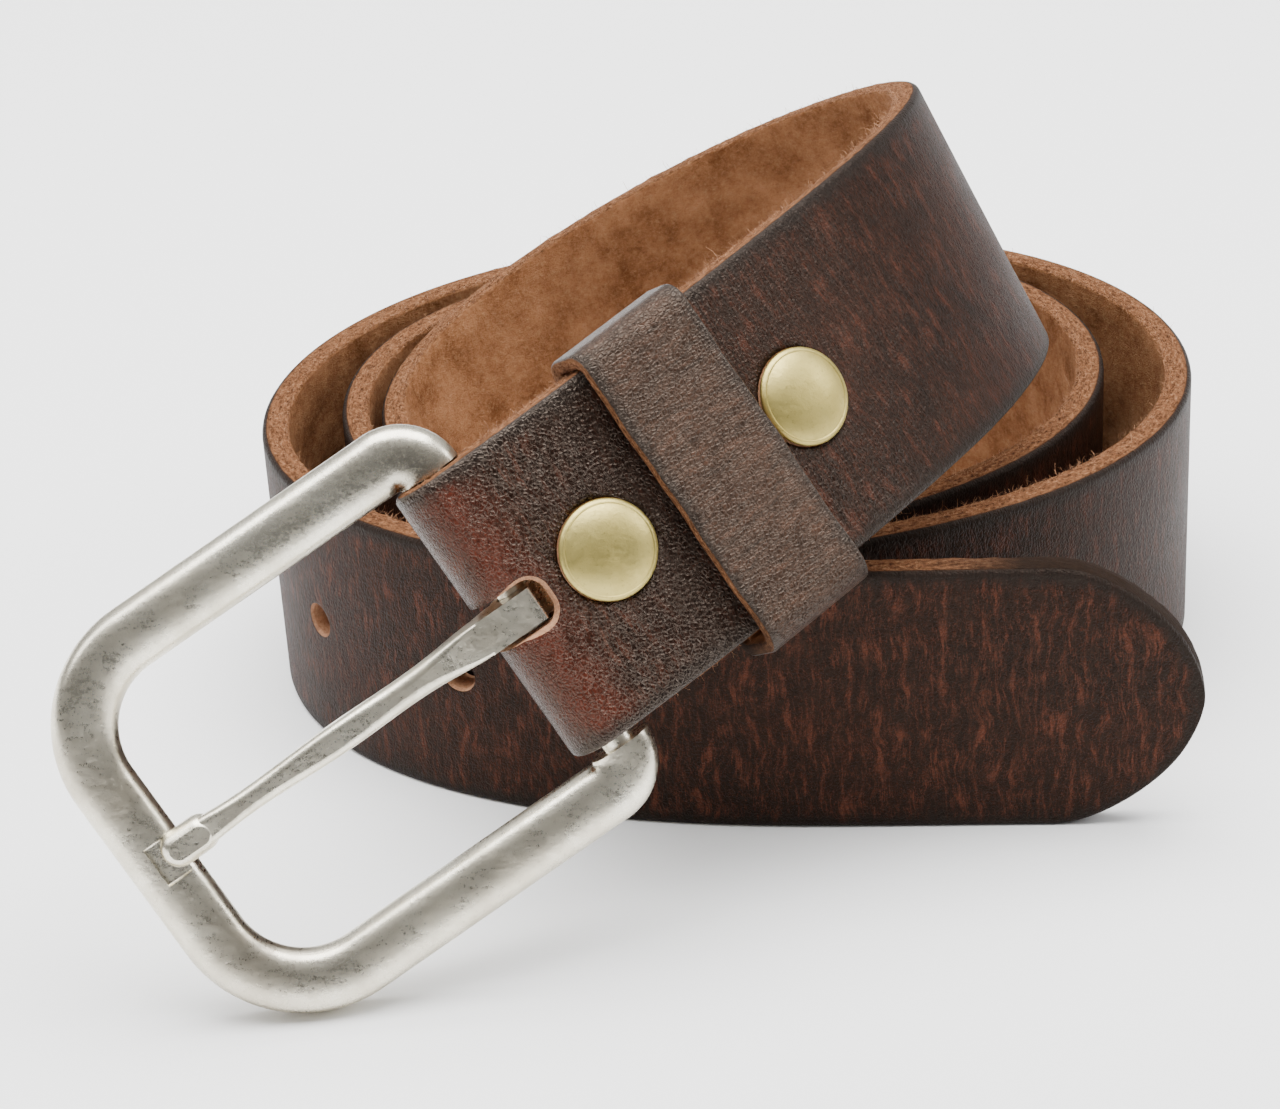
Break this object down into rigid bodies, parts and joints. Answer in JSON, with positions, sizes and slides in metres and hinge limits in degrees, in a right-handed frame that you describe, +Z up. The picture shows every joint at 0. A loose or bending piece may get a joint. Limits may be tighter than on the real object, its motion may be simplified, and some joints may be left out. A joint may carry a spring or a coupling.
{
  "type": "leather belt",
  "caption": "Leather belt rolled up on its edge, with a rectangular frame buckle, prong, keeper loop and snap-fastened buckle end.",
  "frame": {"origin": "centre of the rolled belt's footprint, on the surface that it stands on", "axes": "+Z up, along the width of the coiled strap; -Y is the front, where the buckle lies; +X is where the strap's tip points"},
  "size_m": [0.148, 0.1377, 0.0815],
  "materials": {
    "strap_leather": "oiled full grain, semi-matte",
    "keeper_leather": "oiled full grain, semi-matte",
    "nickel": "brushed, slightly worn",
    "antique_brass": "satin, aged",
    "steel_wire": "bright wire"
  },
  "bodies": {
    "strap": {"belt_strap": "strap_leather", "snap_front_cap": "antique_brass", "snap_front_socket": "antique_brass", "snap_front_spring": "steel_wire", "snap_front_stud": "antique_brass", "snap_front_post": "antique_brass", "snap_rear_cap": "antique_brass", "snap_rear_socket": "antique_brass", "snap_rear_spring": "steel_wire", "snap_rear_stud": "antique_brass", "snap_rear_post": "antique_brass"},
    "buckle": {"buckle_frame": "nickel", "heel_bar": "nickel"},
    "prong": {"buckle_prong": "nickel"},
    "keeper": {"keeper_loop": "keeper_leather", "keeper_staples": "steel_wire"}
  },
  "joints": [
    {"name": "buckle_turn", "type": "hinge", "parent": "strap", "child": "buckle", "pos_m": [-0.01735, -0.04675, 0.04429], "axis": [-0.5132, 0.2809, 0.811], "range_deg": [0, 25]},
    {"name": "prong_turn", "type": "hinge", "parent": "buckle", "child": "prong", "pos_m": [-0.01735, -0.04675, 0.04429], "axis": [-0.5132, 0.2809, 0.811], "range_deg": [0, 27]},
    {"name": "keeper_travel", "type": "hinge", "parent": "strap", "child": "keeper", "pos_m": [-0.04315, 0.06175, -0.00961], "axis": [0.5132, -0.2809, -0.811], "range_deg": [0, 1.3]}
  ]
}
